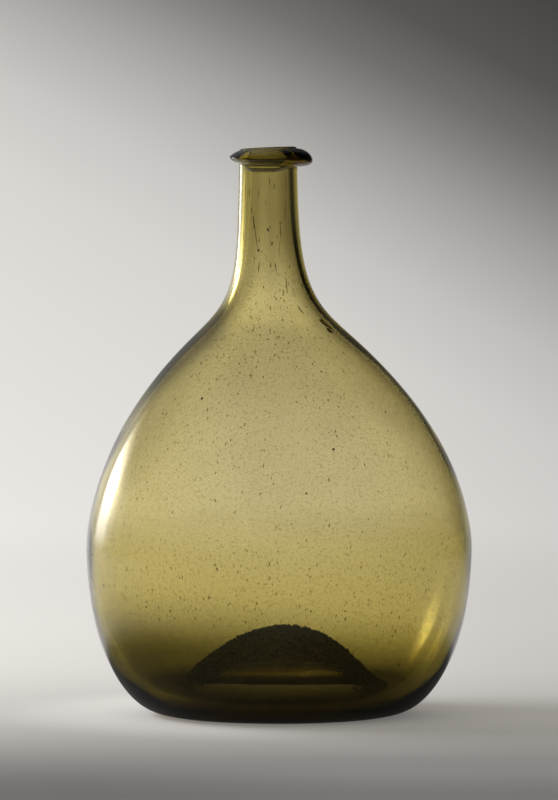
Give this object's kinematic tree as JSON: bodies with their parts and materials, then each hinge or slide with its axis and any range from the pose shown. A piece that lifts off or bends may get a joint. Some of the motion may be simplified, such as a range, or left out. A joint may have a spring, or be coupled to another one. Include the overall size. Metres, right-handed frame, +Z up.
{
  "type": "glass bottle",
  "caption": "Free-blown pear-shaped bottle of olive-green glass with a slim open neck, a hand-wound trail round its mouth and a deep pushed-up base.",
  "frame": {"origin": "centre of the bounding box's underside: on the table, under the middle of the belly", "axes": "+Z up to the mouth; -Y towards the pictured side; the neck stands 5 mm off the middle towards -X"},
  "size_m": [0.1704, 0.1704, 0.2506],
  "materials": {
    "olive_glass": "clear olive-green glass with small air bubbles, fire-polished",
    "scar_glass": "rough broken glass with grit"
  },
  "bodies": {
    "root": {"vessel": "olive_glass", "lip_trail": "olive_glass", "pontil_scar": "scar_glass"}
  },
  "joints": []
}
